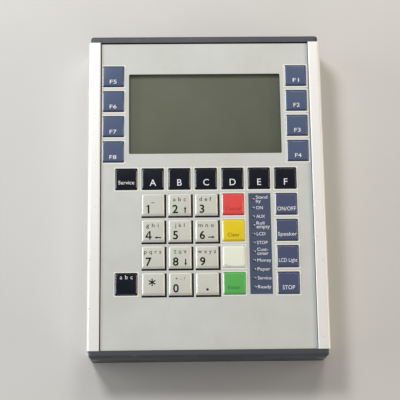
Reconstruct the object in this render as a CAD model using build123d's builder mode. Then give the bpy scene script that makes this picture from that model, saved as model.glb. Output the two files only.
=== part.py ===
from build123d import *
import os

# Operator keypad with a graphic display.  Millimetres.
# X runs to the right across the face, Y up the face towards the display, Z out of the face.
# The origin is on the flat rear face, in the middle of the outline.

# ---------------------------------------------------------------- driving dimensions
case_width = 170.0          # over the outer faces of the two side rails
rail_length = 226.6         # cut length of the extruded side rails
cap_thickness = 5.0         # each moulded end cap, along Y
case_depth = 30.0           # rear face to the printed face of the overlay

rail_width = 8.8            # visible top of a side rail
rail_stand = 1.2            # rail top above the printed face
cap_inset = 1.4             # end cap set in from the rail's outer face
cap_drop = 0.4              # end cap top below the rail top

key_pitch = 19.05           # both ways, the usual keyboard pitch
key_size = 15.9             # printed square of one key
key_corner = 1.1
key_rise = 1.0              # embossed plateau above the printed face
key_skirt = 0.15            # straight part of the key above the printed face
key_slope = 40.0            # degrees, side slope of the plateau
key_travel = 0.7
flange_lip = 0.45           # retaining flange beyond the printed square
flange_thickness = 0.85
stem_radius = 2.5
dome_radius = 4.0
dome_height = 0.8

grid_row_y = 9.6            # Y of the lettered row, the top row of the main grid
function_offset = 3.5       # function key columns, in key pitches from the middle
display_y = 58.7            # Y of the display's middle and of the function key block
face_x = -0.4               # keys, display and lights sit a little left of the case's middle

film_thickness = 0.5
plate_thickness = 2.0
plate_gap_left = 0.8        # open groove between the left rail and the overlay
plate_gap_right = 0.4
plate_gap_top = 1.0
plate_gap_bottom = 0.3

window_width = 110.4        # clear opening of the overlay over the display
window_height = 60.5
window_lip = 1.6            # window pane under the overlay, past the opening
window_thickness = 1.0
light_count = 11
light_pitch = 6.35
light_x = 33.5
light_y = -37.5             # middle of the column of indicator lights
lens_radius = 1.2

board_thickness = 1.6
cover_thickness = 2.8
mount_spacing = 100.0       # tapped mounting holes, square pattern
mount_hole_radius = 1.65    # core of an M4 thread

# ---------------------------------------------------------------- named clearances
fit_gap = 0.2               # loose fit between fixed pieces
key_gap = 0.15              # key to overlay, each side
flange_gap = 0.2            # key flange to front plate, each side
rest_gap = 0.05             # key flange to overlay at rest
dome_gap = 0.1              # key stem to collapsed dome at full travel
thread_gap = 0.05           # screw core to its bore

# ---------------------------------------------------------------- heights worked out
face_z = case_depth
film_z = face_z - film_thickness
plate_z = film_z - plate_thickness
rail_top_z = face_z + rail_stand
flange_top_z = film_z - rest_gap
flange_z = flange_top_z - flange_thickness
board_gap = 2.5
key_board_top_z = plate_z - board_gap
key_board_z = key_board_top_z - board_thickness
stem_z = key_board_top_z + dome_height + dome_gap + key_travel

# ---------------------------------------------------------------- plan sizes worked out
rail_inner_x = case_width / 2 - rail_width
rail_end_y = rail_length / 2
plate_left = -rail_inner_x + plate_gap_left
plate_right = rail_inner_x - plate_gap_right
plate_bottom = -rail_end_y + plate_gap_bottom
plate_top = rail_end_y - plate_gap_top
plate_width = plate_right - plate_left
plate_length = plate_top - plate_bottom
plate_mid = ((plate_left + plate_right) / 2, (plate_bottom + plate_top) / 2)
flange_size = key_size + 2 * flange_lip
pane_width = window_width + 2 * window_lip
pane_height = window_height + 2 * window_lip

# column and row of each key on the main grid, in pitches from the middle column and top row
GRID_KEYS = {
    "key_service": (-3, 0),
    "key_letter_a": (-2, 0),
    "key_letter_b": (-1, 0),
    "key_letter_c": (0, 0),
    "key_letter_d": (1, 0),
    "key_letter_e": (2, 0),
    "key_letter_f": (3, 0),
    "key_digit_1": (-2, 1),
    "key_digit_2": (-1, 1),
    "key_digit_3": (0, 1),
    "key_digit_4": (-2, 2),
    "key_digit_5": (-1, 2),
    "key_digit_6": (0, 2),
    "key_digit_7": (-2, 3),
    "key_digit_8": (-1, 3),
    "key_digit_9": (0, 3),
    "key_star": (-2, 4),
    "key_digit_0": (-1, 4),
    "key_point": (0, 4),
    "key_text_mode": (-3, 4),
    "key_cancel": (1, 1),
    "key_clear": (1, 2),
    "key_blank": (1, 3),
    "key_enter": (1, 4),
    "key_on_off": (3, 1),
    "key_speaker": (3, 2),
    "key_display_light": (3, 3),
    "key_stop": (3, 4),
}

key_places = {}
for key_name, (column, row) in GRID_KEYS.items():
    key_places[key_name] = (face_x + column * key_pitch, grid_row_y - row * key_pitch)
for step in range(4):
    row_y = display_y + (1.5 - step) * key_pitch
    key_places["key_f%d" % (step + 1)] = (face_x + function_offset * key_pitch, row_y)
    key_places["key_f%d" % (step + 5)] = (face_x - function_offset * key_pitch, row_y)
display_place = (face_x, display_y)

light_places = []
for step in range(light_count):
    light_places.append((face_x + light_x, light_y + (step - (light_count - 1) / 2) * light_pitch))

os.makedirs("parts", exist_ok=True)


def save(piece, name):
    piece.part.label = name
    export_step(piece.part, "parts/" + name + ".step")


# ---------------------------------------------------------------- side rails
rail_wall = 2.0
rail_web = 7.0              # solid web round the screw port
port_z = 15.0
port_radius = 1.25
port_in = 3.4               # screw port in from the rail's inner face
port_x = rail_inner_x + port_in
rail_mid_x = rail_inner_x + rail_width / 2
top_ledge = 3.0             # carries the front plate
top_ledge_thickness = 2.2
foot_ledge = 6.0            # the rear cover is screwed up into this
foot_ledge_thickness = 3.1
foot_ledge_z = cover_thickness + fit_gap / 2
cavity_width = rail_width - 2 * rail_wall
cavity_low = (foot_ledge_z + foot_ledge_thickness, port_z - rail_web / 2)
cavity_high = (port_z + rail_web / 2, plate_z - top_ledge_thickness)
cover_screw_x = rail_inner_x - foot_ledge / 2
cover_screw_in = 13.3       # cover screw in from the rail's end
cover_screw_y = rail_end_y - cover_screw_in
rail_crown = 2.4            # rounding of the outer top edge
rail_inner_round = 1.0


def rail(side):
    with BuildPart() as body:
        with BuildSketch(Plane.XZ.offset(-rail_length / 2)):
            with Locations((side * rail_mid_x, rail_top_z / 2)):
                Rectangle(rail_width, rail_top_z)
            with Locations((side * (rail_inner_x - top_ledge / 2), plate_z - top_ledge_thickness / 2)):
                Rectangle(top_ledge, top_ledge_thickness)
            with Locations((side * cover_screw_x, foot_ledge_z + foot_ledge_thickness / 2)):
                Rectangle(foot_ledge, foot_ledge_thickness)
            for low, high in (cavity_low, cavity_high):
                with Locations((side * rail_mid_x, (low + high) / 2)):
                    Rectangle(cavity_width, high - low, mode=Mode.SUBTRACT)
            with Locations((side * port_x, port_z)):
                Circle(port_radius, mode=Mode.SUBTRACT)
        extrude(amount=rail_length)
        crest = body.edges().filter_by(Axis.Y).group_by(Axis.Z)[-1].sort_by(Axis.X)
        outer_edge = crest[-1] if side > 0 else crest[0]
        fillet(outer_edge, rail_crown)
        crest = body.edges().filter_by(Axis.Y).group_by(Axis.Z)[-1].sort_by(Axis.X)
        inner_edge = crest[0] if side > 0 else crest[-1]
        fillet(inner_edge, rail_inner_round)
        with BuildSketch(Plane.XY):
            with Locations((side * cover_screw_x, cover_screw_y), (side * cover_screw_x, -cover_screw_y)):
                Circle(port_radius)
        extrude(amount=foot_ledge_z + foot_ledge_thickness + fit_gap, mode=Mode.SUBTRACT)
    return body


left_rail = rail(-1)
save(left_rail, "left_rail")
right_rail = rail(1)
save(right_rail, "right_rail")

# ---------------------------------------------------------------- end caps
cap_top_z = rail_top_z - cap_drop
cap_width = case_width - 2 * cap_inset
cap_corner = 2.0            # rounding of the cap's outer upright corners
cap_round = 2.4             # rounding of the cap's outer top edge
screw_radius = port_radius - thread_gap
screw_hole_radius = 1.6
screw_head_radius = 2.6
screw_length = 10.0
connector_x = -25.0
connector_flange_width = 30.8
connector_flange_height = 12.4
connector_drop = 1.1        # connector flange below the front plate
connector_z = plate_z - connector_drop - connector_flange_height / 2
connector_screw_offset = 12.5
shell_width = 16.9
shell_height = 8.4
shell_corner = 2.0


def end_cap(side, screw_spots, has_connector):
    inner_y = side * rail_end_y
    outer_y = side * (rail_end_y + cap_thickness)
    with BuildPart() as cap:
        with BuildSketch(Plane.XY):
            with Locations((0, (inner_y + outer_y) / 2)):
                Rectangle(cap_width, cap_thickness)
        extrude(amount=cap_top_z)
        uprights = cap.edges().filter_by(Axis.Z).group_by(Axis.Y)[-1 if side > 0 else 0]
        fillet(uprights, cap_corner)
        rim = cap.faces().sort_by(Axis.Z)[-1].edges().filter_by(
            lambda edge: side * edge.center().Y > rail_end_y + fit_gap)
        fillet(rim, cap_round)
        face = Plane(origin=(0, outer_y, 0), x_dir=(-side, 0, 0), z_dir=(0, side, 0))
        with Locations(face):
            with Locations(*[(-side * spot_x, spot_z) for spot_x, spot_z in screw_spots]):
                CounterSinkHole(screw_hole_radius, screw_head_radius, depth=cap_thickness)
        if has_connector:
            with BuildSketch(Plane.XZ.offset(-rail_end_y - cap_thickness)):
                with Locations((connector_x, connector_z)):
                    RectangleRounded(shell_width + 2 * fit_gap, shell_height + 2 * fit_gap, shell_corner)
            extrude(amount=cap_thickness, mode=Mode.SUBTRACT)
    return cap


rail_screws = [(-port_x, port_z), (port_x, port_z)]
connector_screws = [
    (connector_x - connector_screw_offset, connector_z),
    (connector_x + connector_screw_offset, connector_z),
]
top_end_cap = end_cap(1, rail_screws + connector_screws, True)
save(top_end_cap, "top_end_cap")
bottom_end_cap = end_cap(-1, rail_screws, False)
save(bottom_end_cap, "bottom_end_cap")

# ---------------------------------------------------------------- rear cover
cover_screw_spots = []
for side in (-1, 1):
    for end in (-1, 1):
        cover_screw_spots.append((side * cover_screw_x, end * cover_screw_y))

with BuildPart() as rear_cover:
    with BuildSketch(Plane.XY):
        Rectangle(2 * (rail_inner_x - fit_gap), rail_length - fit_gap)
    extrude(amount=cover_thickness)
    with BuildSketch(Plane.XY):
        with GridLocations(mount_spacing, mount_spacing, 2, 2):
            Circle(mount_hole_radius)
    extrude(amount=cover_thickness, mode=Mode.SUBTRACT)
    with Locations(Plane(origin=(0, 0, 0), x_dir=(-1, 0, 0), z_dir=(0, 0, -1))):
        with Locations(*[(-spot_x, spot_y) for spot_x, spot_y in cover_screw_spots]):
            CounterSinkHole(screw_hole_radius, screw_head_radius, depth=cover_thickness)
save(rear_cover, "rear_cover")

# ---------------------------------------------------------------- front plate and overlay
cutout_size = flange_size + 2 * flange_gap
pane_gap = fit_gap

with BuildPart() as front_plate:
    with BuildSketch(Plane.XY.offset(plate_z)):
        with Locations(plate_mid):
            Rectangle(plate_width, plate_length)
    extrude(amount=plate_thickness)
    with BuildSketch(Plane.XY.offset(plate_z)):
        with Locations(*key_places.values()):
            RectangleRounded(cutout_size, cutout_size, key_corner)
        with Locations(display_place):
            Rectangle(pane_width + 2 * pane_gap, pane_height + 2 * pane_gap)
        with Locations(*light_places):
            Circle(lens_radius + fit_gap / 2)
    extrude(amount=plate_thickness, mode=Mode.SUBTRACT)
save(front_plate, "front_plate")

film_corner = 1.0
with BuildPart() as face_film:
    with BuildSketch(Plane.XY.offset(film_z)):
        with Locations(plate_mid):
            Rectangle(plate_width, plate_length)
    extrude(amount=film_thickness)
    with BuildSketch(Plane.XY.offset(film_z)):
        with Locations(*key_places.values()):
            RectangleRounded(key_size + 2 * key_gap, key_size + 2 * key_gap, key_corner)
        with Locations(display_place):
            RectangleRounded(window_width, window_height, film_corner)
        with Locations(*light_places):
            Circle(lens_radius + fit_gap / 2)
    extrude(amount=film_thickness, mode=Mode.SUBTRACT)
save(face_film, "face_film")

# ---------------------------------------------------------------- keys
flange_corner = 0.9


def key_pad(x, y):
    with BuildPart() as pad:
        with BuildSketch(Plane.XY.offset(flange_z)):
            with Locations((x, y)):
                RectangleRounded(flange_size, flange_size, flange_corner)
        extrude(amount=flange_thickness)
        with BuildSketch(Plane.XY.offset(flange_top_z)):
            with Locations((x, y)):
                RectangleRounded(key_size, key_size, key_corner)
        extrude(amount=face_z + key_skirt - flange_top_z)
        with BuildSketch(Plane.XY.offset(face_z + key_skirt)):
            with Locations((x, y)):
                RectangleRounded(key_size, key_size, key_corner)
        extrude(amount=key_rise - key_skirt, taper=key_slope)
        with BuildSketch(Plane.XY.offset(stem_z)):
            with Locations((x, y)):
                Circle(stem_radius)
        extrude(amount=flange_z - stem_z)
    return pad


for key_name, (key_x, key_y) in key_places.items():
    save(key_pad(key_x, key_y), key_name)

# ---------------------------------------------------------------- display window and gasket
window_z = film_z - window_thickness
with BuildPart() as display_window:
    with BuildSketch(Plane.XY.offset(window_z)):
        with Locations(display_place):
            Rectangle(pane_width, pane_height)
    extrude(amount=window_thickness)
save(display_window, "display_window")

with BuildPart() as display_gasket:
    with BuildSketch(Plane.XY.offset(plate_z)):
        with Locations(display_place):
            Rectangle(pane_width, pane_height)
            Rectangle(window_width, window_height, mode=Mode.SUBTRACT)
    extrude(amount=window_z - plate_z)
save(display_gasket, "display_gasket")

# ---------------------------------------------------------------- display module
bezel_margin_x = 4.8        # metal bezel past the overlay's opening, each side
bezel_margin_y = 6.25
bezel_width = window_width + 2 * bezel_margin_x
bezel_height = window_height + 2 * bezel_margin_y
bezel_wall = 0.5
bezel_lip = 0.6             # bezel opening past the overlay's opening, each side
glass_thickness = 1.8
backlight_thickness = 3.5
glass_width = bezel_width - 2 * bezel_wall - fit_gap
glass_height = bezel_height - 2 * bezel_wall - fit_gap
glass_z = plate_z - bezel_wall - glass_thickness
backlight_z = glass_z - backlight_thickness
display_board_z = backlight_z - board_thickness
board_margin_x = 1.5        # display board past its bezel, each side
board_margin_y = 4.5
display_board_width = bezel_width + 2 * board_margin_x
display_board_height = bezel_height + 2 * board_margin_y

with BuildPart() as lcd_bezel:
    with BuildSketch(Plane.XY.offset(backlight_z)):
        with Locations(display_place):
            Rectangle(bezel_width, bezel_height)
    extrude(amount=plate_z - backlight_z)
    with BuildSketch(Plane.XY.offset(backlight_z)):
        with Locations(display_place):
            Rectangle(bezel_width - 2 * bezel_wall, bezel_height - 2 * bezel_wall)
    extrude(amount=plate_z - backlight_z - bezel_wall, mode=Mode.SUBTRACT)
    with BuildSketch(Plane.XY.offset(backlight_z)):
        with Locations(display_place):
            Rectangle(window_width + 2 * bezel_lip, window_height + 2 * bezel_lip)
    extrude(amount=plate_z - backlight_z, mode=Mode.SUBTRACT)
save(lcd_bezel, "lcd_bezel")

with BuildPart() as lcd_glass:
    with BuildSketch(Plane.XY.offset(glass_z)):
        with Locations(display_place):
            Rectangle(glass_width, glass_height)
    extrude(amount=glass_thickness)
save(lcd_glass, "lcd_glass")

with BuildPart() as lcd_backlight:
    with BuildSketch(Plane.XY.offset(backlight_z)):
        with Locations(display_place):
            Rectangle(glass_width, glass_height)
    extrude(amount=backlight_thickness)
save(lcd_backlight, "lcd_backlight")

post_radius = 1.6
display_post_gap = 0.5      # post to bezel
display_post_in = 12.375    # post in from the end of the bezel
display_post_x = bezel_width / 2 - display_post_in
display_post_y = bezel_height / 2 + post_radius + display_post_gap
display_posts = []
for side in (-1, 1):
    for end in (-1, 1):
        display_posts.append((face_x + side * display_post_x, display_y + end * display_post_y))

with BuildPart() as lcd_board:
    with BuildSketch(Plane.XY.offset(display_board_z)):
        with Locations(display_place):
            Rectangle(display_board_width, display_board_height)
    extrude(amount=board_thickness)
save(lcd_board, "lcd_board")

# ---------------------------------------------------------------- key board, domes and lights
key_board_in_x = 3.7        # key board in from the side rails
key_board_in_bottom = 13.3  # and in from the rails' ends
key_board_in_top = 9.3
key_board_half = rail_inner_x - key_board_in_x
key_board_bottom = -rail_end_y + key_board_in_bottom
key_board_top = rail_end_y - key_board_in_top
display_clear = 0.5         # key board to display board
key_post_radius = 2.5
board_margin = 5.5          # post centre in from the key board's edge
arm_post_in = 2.6           # post centre in from the end of the board's arms
arm_post_y = key_board_top - arm_post_in
key_board_posts = [
    (-key_board_half + board_margin, arm_post_y),
    (key_board_half - board_margin, arm_post_y),
    (-key_board_half + board_margin, key_board_bottom + board_margin),
    (key_board_half - board_margin, key_board_bottom + board_margin),
    (face_x - 3 * key_pitch, grid_row_y - 2 * key_pitch),
]
notch_bottom = display_y - display_board_height / 2 - display_clear
with BuildPart() as key_board:
    with BuildSketch(Plane.XY.offset(key_board_z)):
        with Locations((0, (key_board_bottom + key_board_top) / 2)):
            Rectangle(2 * key_board_half, key_board_top - key_board_bottom)
        with Locations((face_x, (notch_bottom + key_board_top) / 2)):
            notch_width = display_board_width + 2 * display_clear
            Rectangle(notch_width, key_board_top - notch_bottom, mode=Mode.SUBTRACT)
    extrude(amount=board_thickness)
save(key_board, "key_board")

dome_top_radius = 2.6
with BuildPart() as snap_domes:
    for dome_place in key_places.values():
        with BuildSketch(Plane.XY.offset(key_board_top_z)):
            with Locations(dome_place):
                Circle(dome_radius)
        with BuildSketch(Plane.XY.offset(key_board_top_z + dome_height)):
            with Locations(dome_place):
                Circle(dome_top_radius)
        loft()
save(snap_domes, "snap_domes")

led_radius = 1.5
led_height = board_gap - fit_gap
with BuildPart() as status_leds:
    with BuildSketch(Plane.XY.offset(key_board_top_z)):
        with Locations(*light_places):
            Circle(led_radius)
    extrude(amount=led_height)
save(status_leds, "status_leds")

with BuildPart() as status_light_lenses:
    with BuildSketch(Plane.XY.offset(plate_z + fit_gap / 2)):
        with Locations(*light_places):
            Circle(lens_radius)
    extrude(amount=face_z - plate_z - fit_gap)
save(status_light_lenses, "status_light_lenses")

# ---------------------------------------------------------------- main board and what it carries
tallest_chip = 5.0
chip_gap = 1.5              # tallest chip to the display board above it
main_board_in_x = 10.2      # main board in from the side rails
main_board_in_bottom = 17.3 # and in from the rails' ends
main_board_in_top = 3.3
main_board_top_z = display_board_z - chip_gap - tallest_chip
main_board_z = main_board_top_z - board_thickness
main_board_half = rail_inner_x - main_board_in_x
main_board_bottom = -rail_end_y + main_board_in_bottom
main_board_top = rail_end_y - main_board_in_top
rear_post_in = 8.0          # post centre in from the main board's lower edge
rear_post_y = -main_board_bottom - rear_post_in
with BuildPart() as main_board:
    with BuildSketch(Plane.XY.offset(main_board_z)):
        with Locations((0, (main_board_bottom + main_board_top) / 2)):
            Rectangle(2 * main_board_half, main_board_top - main_board_bottom)
    extrude(amount=board_thickness)
save(main_board, "main_board")

# middle, size and height of the processor, memories, drivers, coils and cable headers
chips = [
    (-10, -20, 24, 24, 2.4),
    (22, -18, 14, 8, 2.0),
    (22, -32, 14, 8, 2.0),
    (-42, -14, 10, 7.5, 1.8),
    (-42, -28, 10, 7.5, 1.8),
    (-30, 60, 20, 7, 4.0),
    (10, 62, 12, 12, tallest_chip),
    (40, 84, 8, 8, tallest_chip),
]
with BuildPart() as board_chips:
    for chip_x, chip_y, chip_width, chip_length, chip_height in chips:
        with BuildSketch(Plane.XY.offset(main_board_top_z)):
            with Locations((chip_x, chip_y)):
                Rectangle(chip_width, chip_length)
        extrude(amount=chip_height)
save(board_chips, "board_chips")

speaker_radius = 14.0
speaker_height = 5.0
speaker_hub_radius = 6.0
speaker_dish = 1.0
speaker_rim = 1.5
speaker_place = (42.0, -66.0)
with BuildPart() as speaker:
    with BuildSketch(Plane.XY.offset(main_board_top_z)):
        with Locations(speaker_place):
            Circle(speaker_radius)
    extrude(amount=speaker_height)
    with BuildSketch(Plane.XY.offset(main_board_top_z + speaker_height - speaker_dish)):
        with Locations(speaker_place):
            Circle(speaker_radius - speaker_rim)
            Circle(speaker_hub_radius, mode=Mode.SUBTRACT)
    extrude(amount=speaker_dish, mode=Mode.SUBTRACT)
save(speaker, "speaker")

connector_flange_thickness = 1.0
connector_body_depth = 10.0
pin_pitch = 2.77
pin_row = 1.42              # each row of pins from the connector's middle
pin_radius = 0.55
pin_depth = 4.0
with BuildPart() as data_connector:
    with BuildSketch(Plane.XZ.offset(-rail_end_y)):
        with Locations((connector_x, connector_z)):
            RectangleRounded(connector_flange_width, connector_flange_height, shell_corner)
    extrude(amount=connector_flange_thickness)
    with BuildSketch(Plane.XZ.offset(-rail_end_y + connector_flange_thickness)):
        with Locations((connector_x, connector_z)):
            Rectangle(shell_width, connector_flange_height)
    extrude(amount=connector_body_depth)
    with BuildSketch(Plane.XZ.offset(-rail_end_y)):
        with Locations((connector_x, connector_z)):
            RectangleRounded(shell_width, shell_height, shell_corner)
    extrude(amount=-(cap_thickness - fit_gap))
    with BuildSketch(Plane.XZ.offset(-rail_end_y - cap_thickness + fit_gap)):
        for pin_count, pin_z in ((5, pin_row), (4, -pin_row)):
            with Locations((connector_x, connector_z + pin_z)):
                with GridLocations(pin_pitch, 1, pin_count, 1):
                    Circle(pin_radius)
    extrude(amount=pin_depth, mode=Mode.SUBTRACT)
    with BuildSketch(Plane.XZ.offset(-rail_end_y)):
        with Locations(*connector_screws):
            Circle(port_radius)
    extrude(amount=connector_flange_thickness, mode=Mode.SUBTRACT)
save(data_connector, "data_connector")

# flat cable from the underside of the key board to the main board, folded into a shallow bow
cable_thickness = 0.6
cable_width = 34.0
cable_bow = 4.0
cable_place = (-2.0, -58.0)
cable_low = main_board_top_z
cable_high = key_board_z
with BuildPart() as ribbon_cable:
    with BuildSketch(Plane.YZ.offset(cable_place[0] - cable_width / 2)):
        with BuildLine():
            inner = ThreePointArc(
                (cable_place[1], cable_low),
                (cable_place[1] + cable_bow, (cable_low + cable_high) / 2),
                (cable_place[1], cable_high))
            Line(inner @ 1, (cable_place[1] + cable_thickness, cable_high))
            ThreePointArc(
                (cable_place[1] + cable_thickness, cable_high),
                (cable_place[1] + cable_bow + cable_thickness, (cable_low + cable_high) / 2),
                (cable_place[1] + cable_thickness, cable_low))
            Line((cable_place[1] + cable_thickness, cable_low), inner @ 0)
        make_face()
    extrude(amount=cable_width)
save(ribbon_cable, "ribbon_cable")

# ---------------------------------------------------------------- posts and screws
rear_posts = []
for side in (-1, 1):
    for end in (-1, 1):
        rear_posts.append((side * (main_board_half - board_margin), end * rear_post_y))
with BuildPart() as board_posts:
    with BuildSketch(Plane.XY.offset(key_board_top_z)):
        with Locations(*key_board_posts):
            Circle(key_post_radius)
    extrude(amount=board_gap)
    with BuildSketch(Plane.XY.offset(display_board_z + board_thickness)):
        with Locations(*display_posts):
            Circle(post_radius)
    extrude(amount=plate_z - display_board_z - board_thickness)
    with BuildSketch(Plane.XY.offset(cover_thickness)):
        with Locations(*rear_posts):
            Circle(key_post_radius)
    extrude(amount=main_board_z - cover_thickness)
save(board_posts, "board_posts")

socket_radius = 1.0
socket_depth = 1.0
head_gap = 0.05             # screw head under the surface it is sunk into


def sunk_screw(length):
    cone_height = screw_head_radius - screw_radius
    with BuildPart() as screw:
        with BuildSketch(Plane.XZ):
            with BuildLine():
                Polyline(
                    (0, -head_gap),
                    (screw_head_radius - head_gap, -head_gap),
                    (screw_radius, -head_gap - cone_height),
                    (screw_radius, -length),
                    (0, -length),
                    close=True)
            make_face()
        revolve(axis=Axis.Z)
        with BuildSketch(Plane.XY.offset(-head_gap)):
            RegularPolygon(socket_radius, 6)
        extrude(amount=-socket_depth, mode=Mode.SUBTRACT)
    return screw.part


cover_screw_length = foot_ledge_z + foot_ledge_thickness
cap_screw = sunk_screw(screw_length)
cover_screw = sunk_screw(cover_screw_length)
connector_screw = sunk_screw(cap_thickness + connector_flange_thickness)

with BuildPart() as housing_screws:
    for end in (1, -1):
        end_y = end * (rail_end_y + cap_thickness)
        end_plane = Plane(origin=(0, end_y, 0), x_dir=(-end, 0, 0), z_dir=(0, end, 0))
        with Locations(end_plane):
            with Locations(*[(-end * spot_x, spot_z) for spot_x, spot_z in rail_screws]):
                add(cap_screw)
    with Locations(Plane(origin=(0, rail_end_y + cap_thickness, 0), x_dir=(-1, 0, 0), z_dir=(0, 1, 0))):
        with Locations(*[(-spot_x, spot_z) for spot_x, spot_z in connector_screws]):
            add(connector_screw)
    with Locations(Plane(origin=(0, 0, 0), x_dir=(-1, 0, 0), z_dir=(0, 0, -1))):
        with Locations(*[(-spot_x, spot_y) for spot_x, spot_y in cover_screw_spots]):
            add(cover_screw)
save(housing_screws, "housing_screws")
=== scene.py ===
import bmesh
import bpy
from math import cos, pi, radians, sin
from mathutils import Matrix, Vector


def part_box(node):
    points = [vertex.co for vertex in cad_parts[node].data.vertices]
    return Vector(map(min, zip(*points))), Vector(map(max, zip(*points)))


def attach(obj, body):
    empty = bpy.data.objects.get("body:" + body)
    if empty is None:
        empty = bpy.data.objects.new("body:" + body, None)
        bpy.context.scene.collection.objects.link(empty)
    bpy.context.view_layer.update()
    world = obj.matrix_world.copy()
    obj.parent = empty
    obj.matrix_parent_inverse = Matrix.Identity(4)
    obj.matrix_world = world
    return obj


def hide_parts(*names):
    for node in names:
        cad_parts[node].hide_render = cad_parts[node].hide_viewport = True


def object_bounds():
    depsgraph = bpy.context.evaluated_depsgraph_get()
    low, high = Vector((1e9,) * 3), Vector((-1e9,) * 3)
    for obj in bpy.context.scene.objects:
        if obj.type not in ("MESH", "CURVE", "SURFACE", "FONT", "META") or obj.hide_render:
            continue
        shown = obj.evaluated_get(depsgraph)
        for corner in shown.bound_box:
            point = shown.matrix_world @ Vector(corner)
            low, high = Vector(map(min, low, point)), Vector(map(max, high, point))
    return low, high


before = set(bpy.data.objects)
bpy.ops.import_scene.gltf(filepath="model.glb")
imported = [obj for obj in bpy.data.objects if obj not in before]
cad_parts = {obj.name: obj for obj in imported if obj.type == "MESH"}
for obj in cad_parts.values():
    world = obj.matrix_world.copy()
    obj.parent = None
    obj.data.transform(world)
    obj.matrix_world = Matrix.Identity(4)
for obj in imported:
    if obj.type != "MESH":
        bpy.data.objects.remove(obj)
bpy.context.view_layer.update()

# ---------------------------------------------------------------- rear cover
# A flat aluminium sheet screwed up into the side rails. Mill finish, with the long
# rolling lines of the sheet and the dull marks of being laid on benches.


def tint(code):
    """Linear colour of a six-figure paint code."""
    parts = [int(code[i:i + 2], 16) / 255 for i in (0, 2, 4)]
    return tuple(c / 12.92 if c <= 0.04045 else ((c + 0.055) / 1.055) ** 2.4 for c in parts) + (1.0,)


def new_group(name, inputs, outputs):
    """An empty node group with named sockets; returns it with its two end nodes."""
    group = bpy.data.node_groups.new(name, "ShaderNodeTree")
    for label, kind, value in inputs:
        socket = group.interface.new_socket(label, in_out="INPUT", socket_type=kind)
        if value is not None:
            socket.default_value = value
    for label, kind in outputs:
        group.interface.new_socket(label, in_out="OUTPUT", socket_type=kind)
    return group, group.nodes.new("NodeGroupInput"), group.nodes.new("NodeGroupOutput")


def noise(nodes, links, vector, scale, detail=2.0, roughness=0.5):
    """Cloudy noise over a place; its scale is a number or a socket."""
    node = nodes.new("ShaderNodeTexNoise")
    node.inputs["Detail"].default_value = detail
    node.inputs["Roughness"].default_value = roughness
    if isinstance(scale, bpy.types.NodeSocket):
        links.new(scale, node.inputs["Scale"])
    else:
        node.inputs["Scale"].default_value = scale
    links.new(vector, node.inputs["Vector"])
    return node.outputs["Fac"]


def ramp(nodes, links, value, low, high, to_low=0.0, to_high=1.0):
    """A straight ramp of a value between two limits, level outside them."""
    node = nodes.new("ShaderNodeMapRange")
    node.inputs["From Min"].default_value = low
    node.inputs["From Max"].default_value = high
    node.inputs["To Min"].default_value = to_low
    node.inputs["To Max"].default_value = to_high
    links.new(value, node.inputs["Value"])
    return node.outputs["Result"]


def maths(nodes, links, kind, first, second=0.0):
    """One sum on two values, each a number or a socket."""
    node = nodes.new("ShaderNodeMath")
    node.operation = kind
    for slot, value in zip(node.inputs, (first, second)):
        if isinstance(value, bpy.types.NodeSocket):
            links.new(value, slot)
        else:
            slot.default_value = value
    return node.outputs[0]


def mix(nodes, links, share, first, second):
    """A blend of two colours; a share of 1 gives the second."""
    node = nodes.new("ShaderNodeMix")
    node.data_type = "RGBA"
    for slot, value in ((node.inputs[0], share), (node.inputs[6], first), (node.inputs[7], second)):
        if isinstance(value, bpy.types.NodeSocket):
            links.new(value, slot)
        else:
            slot.default_value = value
    return node.outputs[2]


# grain, handling marks and specks, shared by every finish on the unit
BLOTCH_SPREAD = (0.35, 0.7)
SPECK_SPREAD = (0.7, 0.78)
marks, marks_in, marks_out = new_group(
    "surface_marks",
    [("Vector", "NodeSocketVector", None), ("Grain", "NodeSocketFloat", 4000.0),
     ("Blotch", "NodeSocketFloat", 18.0), ("Speck", "NodeSocketFloat", 900.0)],
    [("Grain", "NodeSocketFloat"), ("Blotch", "NodeSocketFloat"), ("Speck", "NodeSocketFloat")])
nodes, links = marks.nodes, marks.links
vector = marks_in.outputs["Vector"]
fine = noise(nodes, links, vector, marks_in.outputs["Grain"], 3.0, 0.6)
cloud = noise(nodes, links, vector, marks_in.outputs["Blotch"], 5.0, 0.65)
dots = noise(nodes, links, vector, marks_in.outputs["Speck"], 2.0, 0.5)
links.new(fine, marks_out.inputs["Grain"])
links.new(ramp(nodes, links, cloud, *BLOTCH_SPREAD), marks_out.inputs["Blotch"])
links.new(ramp(nodes, links, dots, *SPECK_SPREAD), marks_out.inputs["Speck"])

RUBBED = 0.88
SMUDGED = 1.18
RELIEF = 0.6


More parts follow.
